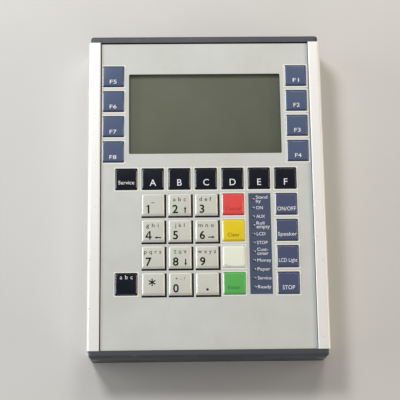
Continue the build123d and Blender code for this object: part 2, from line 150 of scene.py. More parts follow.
def finish(name, colour, dark, roughness, metallic=0.0, coat=0.0, grain=4000.0, blotch=18.0,
           speck=900.0, stretch=(1, 1, 1), bump=0.00002, specks=0.3, blotches=0.35, shine=0.5):
    """A finish with fine grain, cloudy handling marks and specks in its darker colour.

    Returns the material, its nodes and links, its shader, the colour so far and the places.
    """
    made = bpy.data.materials.new(name)
    made.use_nodes = True
    made.diffuse_color = colour
    nodes, links = made.node_tree.nodes, made.node_tree.links
    shader = nodes["Principled BSDF"]
    place = nodes.new("ShaderNodeTexCoord")
    turn = nodes.new("ShaderNodeMapping")
    turn.inputs["Scale"].default_value = stretch
    links.new(place.outputs["Object"], turn.inputs["Vector"])
    worn = nodes.new("ShaderNodeGroup")
    worn.node_tree = marks
    worn.inputs["Grain"].default_value = grain
    worn.inputs["Blotch"].default_value = blotch
    worn.inputs["Speck"].default_value = speck
    links.new(turn.outputs["Vector"], worn.inputs["Vector"])
    soft = ramp(nodes, links, worn.outputs["Blotch"], 0, 1, 0, blotches)
    tone = mix(nodes, links, soft, colour, dark)
    spots = ramp(nodes, links, worn.outputs["Speck"], 0, 1, 0, specks)
    tone = mix(nodes, links, spots, tone, dark)
    links.new(tone, shader.inputs["Base Color"])
    rough = ramp(nodes, links, worn.outputs["Blotch"], 0, 1,
                 roughness * RUBBED, min(1.0, roughness * SMUDGED))
    links.new(rough, shader.inputs["Roughness"])
    relief = nodes.new("ShaderNodeBump")
    relief.inputs["Strength"].default_value = RELIEF
    relief.inputs["Distance"].default_value = bump
    links.new(worn.outputs["Grain"], relief.inputs["Height"])
    links.new(relief.outputs["Normal"], shader.inputs["Normal"])
    shader.inputs["Metallic"].default_value = metallic
    shader.inputs["Coat Weight"].default_value = coat
    shader.inputs["Specular IOR Level"].default_value = shine
    return made, nodes, links, shader, tone, place


def dress(node, made):
    """Gives a finish to a node of the frame."""
    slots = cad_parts[node].data.materials
    slots.clear()
    slots.append(made)


dress("rear_cover", finish("cover_sheet", tint("b9b9b6"), tint("8f8f8c"), 0.38, metallic=0.9,
                           grain=900.0, stretch=(6, 0.25, 1), bump=0.00003)[0])

# ---------------------------------------------------------------- boards and posts
# Green glass-fibre boards on turned brass posts, with black moulded packages, a small
# loudspeaker, sheet-steel snap domes and a flat grey cable soldered between the boards.
board_green = finish("board_green", tint("1f5f37"), tint("123b22"), 0.3, coat=0.4,
                     grain=2500.0, blotch=220.0)[0]
for node in ("main_board", "key_board", "lcd_board"):
    dress(node, board_green)
dress("board_posts", finish("post_brass", tint("c9ab5c"), tint("94793a"), 0.3, metallic=1.0)[0])
dress("board_chips", finish("chip_black", tint("222224"), tint("161617"), 0.55, grain=3000.0)[0])
dress("speaker", finish("speaker_shell", tint("2a2a2b"), tint("1a1a1b"), 0.6, grain=2500.0)[0])
dress("snap_domes", finish("dome_steel", tint("c9c8c4"), tint("9b9a96"), 0.25, metallic=1.0,
                           grain=1500.0)[0])
dress("ribbon_cable", finish("cable_grey", tint("9a9da1"), tint("7a7d81"), 0.5,
                             stretch=(8, 0.1, 0.1))[0])
dress("status_leds", finish("lamp_body", tint("e2d6b0"), tint("c8ba90"), 0.2, coat=0.5)[0])

# ---------------------------------------------------------------- display module
# A reflective liquid crystal cell in a black enamelled steel bezel, over a diffusing
# light guide, behind a foam frame and a clear hard-coated pane.
dress("lcd_backlight", finish("light_guide", tint("e6e7e2"), tint("d5d7d0"), 0.3)[0])
dress("lcd_bezel", finish("bezel_enamel", tint("26282a"), tint("17181a"), 0.4, grain=2500.0)[0])
dress("display_gasket", finish("gasket_foam", tint("1c1d1e"), tint("101112"), 0.9,
                               grain=1800.0, bump=0.0001)[0])

MM = 0.001
DOT_PITCH = 0.45 * MM
DOT_GAP = 0.03 * MM
GAP_SHARE = 0.35
# the cell darkens along this direction, towards its lower right corner
FADE_ALONG = (0.8, -0.6, 0)
FADE_START = -70 * MM
FADE_END = 35 * MM
FADE_SHARE = 0.55
cell, nodes, links, shader, tone, place = finish(
    "crystal_cell", tint("5d614f"), tint("4e5242"), 0.24, blotch=9.0, specks=0.0, blotches=0.5)
dot_lines = nodes.new("ShaderNodeTexBrick")
dot_lines.offset = 0.0
dot_lines.inputs["Scale"].default_value = 1.0
dot_lines.inputs["Mortar Size"].default_value = DOT_GAP
dot_lines.inputs["Brick Width"].default_value = DOT_PITCH
dot_lines.inputs["Row Height"].default_value = DOT_PITCH
links.new(place.outputs["Object"], dot_lines.inputs["Vector"])
gaps = ramp(nodes, links, dot_lines.outputs["Fac"], 0, 1, 0, GAP_SHARE)
tone = mix(nodes, links, gaps, tone, tint("676b58"))
slant = nodes.new("ShaderNodeVectorMath")
slant.operation = "DOT_PRODUCT"
slant.inputs[1].default_value = FADE_ALONG
links.new(place.outputs["Object"], slant.inputs[0])
fade = ramp(nodes, links, slant.outputs["Value"], FADE_START, FADE_END, 0, FADE_SHARE)
links.new(mix(nodes, links, fade, tone, tint("363a29")), shader.inputs["Base Color"])
dress("lcd_glass", cell)

HAZE_SPREAD = (0.3, 0.75)
CLEAN_PANE = 0.025
HAZY_PANE = 0.06
pane, nodes, links, shader, tone, place = finish(
    "hard_pane", tint("b9bdb5"), tint("a2a69e"), 0.12, blotch=30.0, specks=0.6)
wiped = noise(nodes, links, place.outputs["Object"], 25.0, 4.0)
haze = ramp(nodes, links, wiped, *HAZE_SPREAD, CLEAN_PANE, HAZY_PANE)
links.new(haze, shader.inputs["Alpha"])
dress("display_window", pane)

# ---------------------------------------------------------------- side rails
# Extruded aluminium, satin anodised, cut square at both ends. Fine die lines run along
# the length, with small nicks, and painted shade darkens the groove beside the overlay.
NICK_SPREAD = (0.71, 0.76)
NICK_SHARE = 0.5
rail_finish, nodes, links, shader, tone, place = finish(
    "rail_anodised", tint("f3f2ef"), tint("d9d7d2"), 0.4, metallic=0.2, grain=1400.0,
    blotch=16.0, speck=420.0, stretch=(5, 0.05, 5), bump=0.00003, specks=0.0, blotches=0.3)
nicks = noise(nodes, links, place.outputs["Object"], 520.0, 2.0)
nicked = ramp(nodes, links, nicks, *NICK_SPREAD, 0, NICK_SHARE)
tone = mix(nodes, links, nicked, tone, tint("8c8880"))


def split_place(nodes, links, vector):
    """The X, Y and Z sockets of a place."""
    split = nodes.new("ShaderNodeSeparateXYZ")
    links.new(vector, split.inputs[0])
    return split.outputs


# painted shade: the rails' inner walls, from the film top down 3 mm, are mixed towards near black as
# the shadowed gap beside the overlay
GROOVE_SIDE = 76.35 * MM
GROOVE_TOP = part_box("face_film")[1].z
GROOVE_DEPTH = 3.0 * MM
GROOVE_FADE = 0.1 * MM
GROOVE_SHARE = 0.9
groove_floor = GROOVE_TOP - GROOVE_DEPTH
x, y, z = split_place(nodes, links, place.outputs["Object"])
sideways = maths(nodes, links, "ABSOLUTE", x)
groove_shade = ramp(nodes, links, sideways, GROOVE_SIDE - GROOVE_FADE, GROOVE_SIDE, 1.0, 0.0)
under = ramp(nodes, links, z, GROOVE_TOP - GROOVE_FADE, GROOVE_TOP + GROOVE_FADE, 1.0, 0.0)
above = ramp(nodes, links, z, groove_floor - GROOVE_FADE, groove_floor)
groove_shade = maths(nodes, links, "MULTIPLY", groove_shade, maths(nodes, links, "MULTIPLY", under, above))
groove_shade = ramp(nodes, links, groove_shade, 0, 1, 0, GROOVE_SHARE)
links.new(mix(nodes, links, groove_shade, tone, tint("3a352f")), shader.inputs["Base Color"])
for node in ("left_rail", "right_rail"):
    dress(node, rail_finish)

# ---------------------------------------------------------------- end caps
# Dark blue-grey mouldings with a spark-eroded texture that cover the ends of the rails.
# They are rubbed a little paler in patches, where hands and benches touch them.
RUB_SPREAD = (0.6, 0.75)
RUB_SHARE = 0.4
cap_finish, nodes, links, shader, tone, place = finish(
    "cap_moulding", tint("42464e"), tint("373a42"), 0.5, grain=1500.0, blotch=26.0, speck=700.0,
    bump=0.00008, specks=0.2, blotches=0.5)
rub = noise(nodes, links, place.outputs["Object"], 160.0, 6.0, 0.7)
rubbed = ramp(nodes, links, rub, *RUB_SPREAD, 0, RUB_SHARE)
links.new(mix(nodes, links, rubbed, tone, tint("71757d")), shader.inputs["Base Color"])
for node in ("top_end_cap", "bottom_end_cap"):
    dress(node, cap_finish)

# ---------------------------------------------------------------- screws and connector
# Zinc-plated sunk screws hold the caps, cover and connector. The connector is a tinned
# steel shell round a black moulded insulator with nine contacts.
dress("housing_screws", finish("screw_zinc", tint("b8b8b4"), tint("82827e"), 0.3, metallic=1.0,
                               grain=1800.0)[0])
dress("data_connector", finish("tinned_shell", tint("c4c4c0"), tint("96968f"), 0.28, metallic=1.0,
                               grain=1600.0)[0])

INSERT_WIDTH = 15.9 * MM
INSERT_HEIGHT = 7.4 * MM
INSERT_THICKNESS = 0.12 * MM
INSERT_CORNER = 1.8 * MM
CONTACT_STEP = 2.77 * MM
CONTACT_ROW = 1.42 * MM
CONTACT_RADIUS = 0.5 * MM
CONTACT_TAPER = 0.8
CONTACT_SIDES = 14
shell_low, shell_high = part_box("data_connector")
shell_middle = (shell_low + shell_high) / 2


def new_piece(name, bm, made, body="chassis", sharp=35.0):
    """Closes a bmesh into a piece; its bands are smooth up to the sharp angle, its ends flat."""
    bmesh.ops.recalc_face_normals(bm, faces=bm.faces)
    mesh = bpy.data.meshes.new(name)
    bm.to_mesh(mesh)
    bm.free()
    for face in mesh.polygons:
        face.use_smooth = len(face.vertices) <= 4
    mesh.set_sharp_from_angle(angle=radians(sharp))
    piece = bpy.data.objects.new(name, mesh)
    bpy.context.scene.collection.objects.link(piece)
    mesh.materials.append(made)
    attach(piece, body)
    return piece


def round_edges(bm, edges, radius, steps=4):
    """Rounds some edges of a piece in the making."""
    bmesh.ops.bevel(bm, geom=edges, offset=radius, offset_type="OFFSET", segments=steps,
                    profile=0.5, affect="EDGES", material=-1)


def add_block(bm, middle, size, corner=0.0):
    """Adds a box, whose upright edges are rounded if a corner radius is given."""
    place = Matrix.Translation(middle) @ Matrix.Diagonal((*size, 1.0))
    verts = bmesh.ops.create_cube(bm, size=1.0, matrix=place)["verts"]
    if corner:
        upright = [e for e in set(e for v in verts for e in v.link_edges)
                   if abs(e.verts[0].co.z - e.verts[1].co.z) > size[2] * 0.5]
        round_edges(bm, upright, corner)


def add_disc(bm, middle, radius, depth, sides=24, taper=1.0, tilt=0.0):
    """Adds a short round bar with closed ends; returns its vertices."""
    place = Matrix.Translation(middle) @ Matrix.Rotation(tilt, 4, "X")
    return bmesh.ops.create_cone(bm, cap_ends=True, segments=sides, radius1=radius,
                                 radius2=radius * taper, depth=depth, matrix=place)["verts"]


insulator = finish("insulator_black", tint("1d1e20"), tint("131415"), 0.45, grain=2600.0)[0]
bm = bmesh.new()
add_block(bm, (shell_middle.x, shell_high.y, shell_middle.z),
          (INSERT_WIDTH, INSERT_THICKNESS, INSERT_HEIGHT))
through = [e for e in bm.edges if abs(e.verts[0].co.y - e.verts[1].co.y) > INSERT_THICKNESS / 2]
round_edges(bm, through, INSERT_CORNER)
insulator_face = new_piece("connector_insulator", bm, insulator)

gilt = finish("contact_gilt", tint("d8b25a"), tint("a98638"), 0.25, metallic=1.0, grain=2600.0)[0]
bm = bmesh.new()
for contact_count, contact_z in ((5, CONTACT_ROW), (4, -CONTACT_ROW)):
    for step in range(contact_count):
        x = shell_middle.x + (step - (contact_count - 1) / 2) * CONTACT_STEP
        spot = (x, shell_high.y + INSERT_THICKNESS / 2, shell_middle.z + contact_z)
        add_disc(bm, spot, CONTACT_RADIUS, INSERT_THICKNESS, CONTACT_SIDES, CONTACT_TAPER, -pi / 2)
contacts = new_piece("connector_contacts", bm, gilt)

# ---------------------------------------------------------------- front plate and overlay
# A stiff aluminium plate carries the printed overlay, a matt polyester film in light grey.
# The field behind the status lights is printed slate blue on its underside.
dress("front_plate", finish("plate_sheet", tint("8d8d8a"), tint("6c6c69"), 0.45, metallic=0.9,
                            grain=1200.0, stretch=(5, 0.3, 1))[0])

FIELD_MIDDLE = (37.7 * MM, -37.9 * MM)
FIELD_SIZE = (15.9 * MM, 73.0 * MM)
SCUFF_SPREAD = (0.62, 0.8)
SCUFF_SHARE = 0.45
# painted shade: the film turns darker and bluer over this stretch, beside the right rail
EDGE_START = 72.5 * MM
EDGE_END = 75.6 * MM
EDGE_SHADE_SHARE = 0.55
film, nodes, links, shader, tone, place = finish(
    "overlay_film", tint("cccfcb"), tint("babbb2"), 0.38, grain=5200.0, blotch=22.0, speck=260.0,
    bump=0.000012, specks=0.35, blotches=0.55, shine=0.3)


def away_from(nodes, links, value, centre):
    """How far a value is from a centre, to either side."""
    return maths(nodes, links, "ABSOLUTE", maths(nodes, links, "SUBTRACT", value, centre))


x, y, z = split_place(nodes, links, place.outputs["Object"])
within = []
for along, centre, size in zip((x, y), FIELD_MIDDLE, FIELD_SIZE):
    away = away_from(nodes, links, along, centre)
    within.append(maths(nodes, links, "LESS_THAN", away, size / 2))
inside = maths(nodes, links, "MULTIPLY", *within)
scuff = noise(nodes, links, place.outputs["Object"], 90.0, 8.0, 0.75)
scuffed = ramp(nodes, links, scuff, *SCUFF_SPREAD, 0, SCUFF_SHARE)
tone = mix(nodes, links, scuffed, tone, tint("a9a596"))
rail_side_shade = ramp(nodes, links, x, EDGE_START, EDGE_END, 0, EDGE_SHADE_SHARE)
tone = mix(nodes, links, rail_side_shade, tone, tint("98a2aa"))
links.new(mix(nodes, links, inside, tone, tint("475169")), shader.inputs["Base Color"])
dress("face_film", film)

# ---------------------------------------------------------------- black key lines
# Each number key has a black line screen-printed on the overlay along its right side and
# its foot, which makes the pad look raised.
ink_black = finish("ink_black", tint("0c0d0e"), tint("17181a"), 0.4, grain=5000.0, shine=0.2)[0]
ink_grey = finish("ink_grey", tint("2b2c2a"), tint("3a3b38"), 0.45, grain=5000.0, shine=0.2)[0]
# white print, also used for the painted highlights on the status lenses
white_ink_and_highlight = finish("white_ink_and_highlight", tint("eceef0"), tint("d5d8dc"), 0.4, grain=5000.0)[0]
INK = 0.02 * MM
LINE_WIDTH = 1.35 * MM
LINE_START = 0.4 * MM
film_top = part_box("face_film")[1].z
number_keys = ["key_digit_%d" % digit for digit in range(10)] + ["key_star", "key_point"]
KEY_SIZE = 15.9 * MM
KEY_GAP = 0.25 * MM


def key_middle(node):
    """The middle of a key's box."""
    low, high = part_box(node)
    return (low + high) / 2


near = KEY_SIZE / 2 + KEY_GAP
far = near + LINE_WIDTH
top = KEY_SIZE / 2 - LINE_START
bm = bmesh.new()
for node in number_keys:
    middle = key_middle(node)
    add_block(bm, (middle.x + (near + far) / 2, middle.y + (top - near) / 2, film_top + INK / 2),
              (LINE_WIDTH, top + near, INK))
    add_block(bm, (middle.x + (far - near) / 2, middle.y - (near + far) / 2, film_top + INK / 2),
              (far + near, LINE_WIDTH, INK))
key_lines = new_piece("number_key_lines", bm, ink_black)

# ---------------------------------------------------------------- pale key borders
# The other keys have a narrow pale border of unprinted film round them instead, which
# shows as a light line between each pad and the grey of the overlay.
BORDER_WIDTH = 0.6 * MM
plain_keys = ["key_letter_" + letter for letter in "abcdef"]
plain_keys += ["key_f%d" % number for number in range(1, 9)]
plain_keys += ["key_service", "key_text_mode", "key_cancel", "key_clear", "key_enter", "key_blank",
               "key_on_off", "key_speaker", "key_display_light", "key_stop"]
film_low, film_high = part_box("face_film")
border_pale = finish("border_pale", tint("eeeee7"), tint("dedfd6"), 0.4, grain=5200.0, shine=0.3)[0]
far = near + BORDER_WIDTH
strips = [((0, 1), (2 * near, BORDER_WIDTH)), ((0, -1), (2 * near, BORDER_WIDTH)),
          ((1, 0), (BORDER_WIDTH, 2 * far)), ((-1, 0), (BORDER_WIDTH, 2 * far))]
bm = bmesh.new()
for node in plain_keys:
    middle = key_middle(node)
    for (side, end), (wide, tall) in strips:
        x = middle.x + side * (near + far) / 2
        if abs(x) + wide / 2 < min(-film_low.x, film_high.x):
            add_block(bm, (x, middle.y + end * (near + far) / 2, film_top + INK / 2),
                      (wide, tall, INK))
key_borders = new_piece("key_borders", bm, border_pale)

# ---------------------------------------------------------------- status lights
# Eleven small domed lenses in the slate field, each with a painted highlight, a white crescent
# over the right of its dome, and a word or two printed in white to say what it shows.
LIGHT_COUNT = 11
lens_low, lens_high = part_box("status_light_lenses")
LENS_RADIUS = (lens_high.x - lens_low.x) / 2
lens_x = (lens_low.x + lens_high.x) / 2
row_step = (lens_high.y - lens_low.y - 2 * LENS_RADIUS) / (LIGHT_COUNT - 1)
light_rows = [lens_high.y - LENS_RADIUS - step * row_step for step in range(LIGHT_COUNT)]
LENS_RISE = 0.35 * MM
# the rings of each dome: how far in, as a share of the radius, and its share of the rise
LENS_RINGS = ((0.25, 0.5), (0.3, 0.3), (0.3, 0.2))
lens_tint = finish("lens_smoke", tint("464e63"), tint("363d4f"), 0.16, grain=900.0)[0]
bm = bmesh.new()
for row_y in light_rows:
    verts = add_disc(bm, (lens_x, row_y, (film_top + lens_low.z) / 2), LENS_RADIUS,
                     film_top - lens_low.z)
    crown = [f for f in {f for v in verts for f in v.link_faces}
             if f.calc_center_median().z > film_top - INK and len(f.verts) > 4]
    for inset, rise in LENS_RINGS:
        bmesh.ops.inset_region(bm, faces=crown, thickness=LENS_RADIUS * inset, depth=0.0)
        bmesh.ops.translate(bm, vec=(0, 0, LENS_RISE * rise),
                            verts=list({v for f in crown for v in f.verts}))
lenses = new_piece("status_lenses", bm, lens_tint)
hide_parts("status_light_lenses")


def lift_print(bm, face):
    """Gives a printed face the thickness of its ink."""
    lifted = bmesh.ops.extrude_face_region(bm, geom=[face])["geom"]
    bmesh.ops.translate(bm, vec=(0, 0, INK),
                        verts=[v for v in lifted if isinstance(v, bmesh.types.BMVert)])


# painted highlight: a thin white crescent held just above the right of each dome stands for the glint
# of light on it
CRESCENT_START = -55
CRESCENT_SWEEP = 115
CRESCENT_STEPS = 10
CRESCENT_WIDTH = 0.5 * MM
CRESCENT_INNER = 0.55 * MM
CRESCENT_RISE = 0.27 * MM
bm = bmesh.new()
for row_y in light_rows:
    outer = []
    inner = []
    for step in range(CRESCENT_STEPS + 1):
        turn = radians(CRESCENT_START + CRESCENT_SWEEP * step / CRESCENT_STEPS)
        thick = CRESCENT_WIDTH * sin(pi * step / CRESCENT_STEPS)
        for line, radius in ((outer, CRESCENT_INNER + thick), (inner, CRESCENT_INNER)):
            line.append(bm.verts.new((lens_x + radius * cos(turn), row_y + radius * sin(turn),
                                      film_top + CRESCENT_RISE)))
    lift_print(bm, bm.faces.new(outer + inner[-2:0:-1]))
bmesh.ops.remove_doubles(bm, verts=bm.verts, dist=1e-7)
lens_highlights = new_piece("painted_lens_highlights", bm, white_ink_and_highlight)


def add_words(bm, words, left, foot, height, width=None, spacing=1.0, level=0.0, middle=False,
              weight=0.0):
    """Adds a line of lettering, scaled to that height and width; weight fattens its strokes."""
    curve = bpy.data.curves.new("lettering", "FONT")
    curve.body = words
    curve.space_character = spacing
    curve.resolution_u = 3
    curve.extrude = INK / 2
    curve.offset = weight
    holder = bpy.data.objects.new("lettering", curve)
    bpy.context.scene.collection.objects.link(holder)
    bpy.context.view_layer.update()
    mesh = bpy.data.meshes.new_from_object(holder)
    xs = [v.co.x for v in mesh.vertices]
    ys = [v.co.y for v in mesh.vertices]
    tall = height / (max(ys) - min(ys))
    wide = width / (max(xs) - min(xs)) if width else tall
    start = left - (max(xs) - min(xs)) * wide / 2 if middle else left
    to_corner = Matrix.Translation((-min(xs), -min(ys), 0))
    to_place = Matrix.Translation((start, foot, level + INK / 2))
    mesh.transform(to_place @ Matrix.Diagonal((wide, tall, 1, 1)) @ to_corner)
    bm.from_mesh(mesh)
    bpy.data.objects.remove(holder)
    bpy.data.curves.remove(curve)
    bpy.data.meshes.remove(mesh)


def any_of(word, letters):
    """Whether a word has any of those letters in it."""
    return any(letter in letters for letter in word)


TAILED = "gjpqy"
TALL = "bdfhijklt"
WORD_HEIGHT = 2.3 * MM
WORD_START = 2.1 * MM
LINE_STEP = 2.9 * MM
SMALL_SHARE = 0.72
TAIL_SHARE = 0.28
# words in one or two lines, each with its printed width in millimetres
light_words = [
    [("Stand", 8.2), ("by", 3.6)],
    [("ON", 4.8)],
    [("AUX", 6.2)],
    [("Roll", 5.6), ("empty", 9.4)],
    [("LCD", 6.2)],
    [("STOP", 7.6)],
    [("Cust-", 7.8), ("omer", 8.0)],
    [("Money", 9.8)],
    [("Paper", 9.0)],
    [("Service", 9.6)],
    [("Ready", 9.4)],
]
bm = bmesh.new()
for row_y, lines in zip(light_rows, light_words):
    for index, (word, width) in enumerate(lines):
        lines_up = (len(lines) - 1) / 2 - index
        tail = WORD_HEIGHT * TAIL_SHARE if any_of(word, TAILED) else 0.0
        low_word = word.islower() and not any_of(word, TALL)
        height = WORD_HEIGHT * (SMALL_SHARE if low_word else 1.0) + tail
        foot = row_y + lines_up * LINE_STEP - WORD_HEIGHT / 2 - tail
        add_words(bm, word, lens_x + WORD_START, foot, height, width * MM, level=film_top)
light_labels = new_piece("light_labels", bm, white_ink_and_highlight)

# ---------------------------------------------------------------- key pads
# Pillow-embossed pads, printed on the underside of the film: a flat top with rounded
# corners, sides that slope down all round, and the flange and stem that press the dome.
KEY_CORNER = 1.1 * MM
SLOPE_WIDTH = 1.15 * MM
FOOT_RISE = 0.06 * MM
RIM_ROUND = 0.3 * MM
RIM_STEPS = 3

# where the painted highlight and painted shade lie on the slopes, across a pad from 0 to 1 or out from
# its middle
LEFT_EDGE = (0.034, 0.044)
END_EDGE = (0.445, 0.455)
SIDE_EDGE = (0.435, 0.445)
slope_light_masks, slope_masks_in, slope_masks_out = new_group(
    "painted_slope_light", [("Place", "NodeSocketVector", None)],
    [("Left", "NodeSocketFloat"), ("Ends", "NodeSocketFloat"), ("Ring", "NodeSocketFloat")])
nodes, links = slope_light_masks.nodes, slope_light_masks.links
x, y, z = split_place(nodes, links, slope_masks_in.outputs[0])
left_mask = ramp(nodes, links, x, *LEFT_EDGE, 1.0, 0.0)
end_mask = ramp(nodes, links, away_from(nodes, links, y, 0.5), *END_EDGE)
side_mask = ramp(nodes, links, away_from(nodes, links, x, 0.5), *SIDE_EDGE)
ring_mask = maths(nodes, links, "MAXIMUM", end_mask, side_mask)
links.new(left_mask, slope_masks_out.inputs["Left"])
links.new(end_mask, slope_masks_out.inputs["Ends"])
links.new(ring_mask, slope_masks_out.inputs["Ring"])


def pad_finish(name, colour, dark, left, left_share, ends, end_share, ring_share=0.0):
    """A glossy print, with a painted highlight on the left slope or all round, and painted shade on the
    end slopes.
    """
    made, nodes, links, shader, tone, place = finish(
        name, colour, dark, 0.2, grain=5200.0, blotch=60.0, speck=500.0, bump=0.000008,
        specks=0.25, blotches=0.4, shine=0.45)
    spread = nodes.new("ShaderNodeUVMap")
    spread.uv_map = "pad"
    edges = nodes.new("ShaderNodeGroup")
    edges.node_tree = slope_light_masks
    links.new(spread.outputs["UV"], edges.inputs["Place"])
    coats = (("Ring", left, ring_share), ("Ends", ends, end_share), ("Left", left, left_share))
    for mask, paint, share in coats:
        if share:
            strength = ramp(nodes, links, edges.outputs[mask], 0, 1, 0, share)
            tone = mix(nodes, links, strength, tone, paint)
    links.new(tone, shader.inputs["Base Color"])
    return made, nodes, links, shader, tone, place


# PALE is a painted highlight on the left slopes, and all round the light keys; the darker colour given
# after it is painted shade on the end slopes
PALE = tint("f0f1ec")
KEY_NAVY = pad_finish("key_navy", tint("0f121c"), tint("161a26"), PALE, 0.06, tint("040508"), 0.8)[0]
KEY_SLATE = pad_finish("key_slate", tint("525f7c"), tint("46526e"), PALE, 0.85, tint("2c3347"), 0.7)[0]
KEY_BLUE = pad_finish("key_blue", tint("4d5573"), tint("424a65"), PALE, 0.85, tint("2a2f42"), 0.8)[0]
KEY_LIGHT = pad_finish("key_light", tint("cdcec4"), tint("c1c1b4"), PALE, 0.5, PALE, 0.0, 0.45)[0]
KEY_RED = pad_finish("key_red", tint("e2504c"), tint("cf4541"), PALE, 0.95, tint("b03a3a"), 0.8)[0]
KEY_YELLOW = pad_finish("key_yellow", tint("e6cc22"), tint("d3b91d"), PALE, 0.9, tint("c9b43a"), 0.6)[0]
KEY_GREEN = pad_finish("key_green", tint("5cb35a"), tint("4fa24f"), PALE, 0.95, tint("4a9a4c"), 0.7)[0]

# the blank key is worn: short dark scratches crowd its lower left corner
WORN_X = -4.6 * MM
WORN_Y = -6.2 * MM
WORN_SHAPE = (0.45, 1.3, 0)
WORN_CORE = 0.4 * MM
WORN_REACH = 2.0 * MM
SCRATCH_SPREAD = (0.5, 0.62)
blank_middle = key_middle("key_blank")
KEY_WHITE, nodes, links, shader, tone, place = pad_finish(
    "key_white", tint("ebeddf"), tint("dcdfcd"), PALE, 0.6, tint("cfd2c2"), 0.4)
centred = nodes.new("ShaderNodeMapping")
centred.inputs["Location"].default_value = (-WORN_X - blank_middle.x, -WORN_Y - blank_middle.y, 0)
links.new(place.outputs["Object"], centred.inputs["Vector"])
squeezed = nodes.new("ShaderNodeMapping")
squeezed.inputs["Scale"].default_value = WORN_SHAPE
links.new(centred.outputs["Vector"], squeezed.inputs["Vector"])
reach = nodes.new("ShaderNodeVectorMath")
reach.operation = "LENGTH"
links.new(squeezed.outputs["Vector"], reach.inputs[0])
near_corner = ramp(nodes, links, reach.outputs["Value"], WORN_CORE, WORN_REACH, 1.0, 0.0)
scratches = noise(nodes, links, place.outputs["Object"], 1500.0, 4.0, 0.7)
scratches = ramp(nodes, links, scratches, *SCRATCH_SPREAD)
worn_share = maths(nodes, links, "MULTIPLY", near_corner, scratches)
links.new(mix(nodes, links, worn_share, tone, tint("8a877a")), shader.inputs["Base Color"])

key_finishes = {}
for letter in "abcdef":
    key_finishes["key_letter_" + letter] = (KEY_NAVY, "key_navy")
for number in range(1, 9):
    key_finishes["key_f%d" % number] = (KEY_SLATE, "key_grey_blue")
for node in ("key_service", "key_text_mode"):
    key_finishes[node] = (KEY_NAVY, "key_navy")
for node in ("key_on_off", "key_speaker", "key_display_light", "key_stop"):
    key_finishes[node] = (KEY_BLUE, "key_blue")
for node in number_keys:
    key_finishes[node] = (KEY_LIGHT, "key_light")
key_finishes["key_cancel"] = (KEY_RED, "key_red")
key_finishes["key_clear"] = (KEY_YELLOW, "key_yellow")
key_finishes["key_enter"] = (KEY_GREEN, "key_green")
key_finishes["key_blank"] = (KEY_WHITE, "key_white")

FLANGE_LOW = 28.6 * MM
FLANGE_THICKNESS = 0.85 * MM
STEM_RADIUS = 2.5 * MM
foot_top = film_top + FOOT_RISE
body_low = FLANGE_LOW + FLANGE_THICKNESS
narrow = 1 - 2 * SLOPE_WIDTH / KEY_SIZE
for node, (made, slot_name) in key_finishes.items():
    low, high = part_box(node)
    middle = (low + high) / 2
    bm = bmesh.new()
    add_block(bm, (middle.x, middle.y, (body_low + foot_top) / 2),
              (KEY_SIZE, KEY_SIZE, foot_top - body_low), KEY_CORNER)
    crown = [f for f in bm.faces if f.calc_center_median().z > foot_top - INK]
    lifted = bmesh.ops.extrude_face_region(bm, geom=crown)["geom"]
    risen = [v for v in lifted if isinstance(v, bmesh.types.BMVert)]
    bmesh.ops.translate(bm, vec=(0, 0, high.z - foot_top), verts=risen)
    bmesh.ops.scale(bm, vec=(narrow, narrow, 1), space=Matrix.Translation(-middle), verts=risen)
    rim = [e for f in lifted if isinstance(f, bmesh.types.BMFace) for e in f.edges]
    round_edges(bm, rim, RIM_ROUND, RIM_STEPS)
    add_block(bm, (middle.x, middle.y, FLANGE_LOW + FLANGE_THICKNESS / 2),
              (high.x - low.x, high.y - low.y, FLANGE_THICKNESS), KEY_CORNER)
    add_disc(bm, (middle.x, middle.y, (FLANGE_LOW + low.z) / 2), STEM_RADIUS, FLANGE_LOW - low.z)
    # the places of the print, from 0 to 1 across the pad
    spread = bm.loops.layers.uv.new("pad")
    for face in bm.faces:
        for corner in face.loops:
            corner[spread].uv = ((corner.vert.co.x - middle.x) / KEY_SIZE + 0.5,
                                 (corner.vert.co.y - middle.y) / KEY_SIZE + 0.5)
    pad = new_piece(node + "_pad", bm, made, node, sharp=50.0)
    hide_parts(node)

# ---------------------------------------------------------------- key legends
# Screen-printed under the film: white on the dark keys, black numbers with small grey
# letters on the light ones, and a darker shade of its own colour on each coloured key.
key_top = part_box("key_blank")[1].z
ink_red = finish("ink_dark_red", tint("8e2a2c"), tint("9c3335"), 0.4, grain=5000.0)[0]
ink_olive = finish("ink_olive", tint("4c4415"), tint("5a511d"), 0.4, grain=5000.0)[0]
ink_green = finish("ink_dark_green", tint("236027"), tint("2c6b30"), 0.4, grain=5000.0)[0]

DIGIT_HEIGHT = 6.2 * MM
DIGIT_FOOT = -6.4 * MM
DIGIT_X = -3.1 * MM
DIGIT_WEIGHT = 0.021
FOUR_WIDTH = 4.5 * MM
FOUR_STROKE = 1.0 * MM
FOUR_SLANT = 1.2 * MM
FOUR_STEM = 2.65 * MM
FOUR_BAR = 1.35 * MM
FOUR_NOTCH = 1.25 * MM
FLAG_REACH = 0.85 * MM
FLAG_HALF_WIDTH = 0.33 * MM
FLAG_TURN = 32
FLAG_IN = 0.75 * MM
FLAG_DROP = 0.85 * MM
ARROW_LENGTH = 4.8 * MM
ARROW_WIDTH = 0.8 * MM
ARROW_HEAD = 1.9 * MM
ARROW_X = 3.9 * MM
ARROW_SIDE_X = 3.4 * MM
ARROW_Y = -3.9 * MM
ARROW_SIDE_Y = -4.95 * MM
# the way each arrow points, in degrees from the right
arrows = {2: 90, 4: 180, 6: 0, 8: 270}


def upright_bar(left, foot, right, head):
    """The outline of a rectangle."""
    return [(left, foot), (right, foot), (right, head), (left, head)]


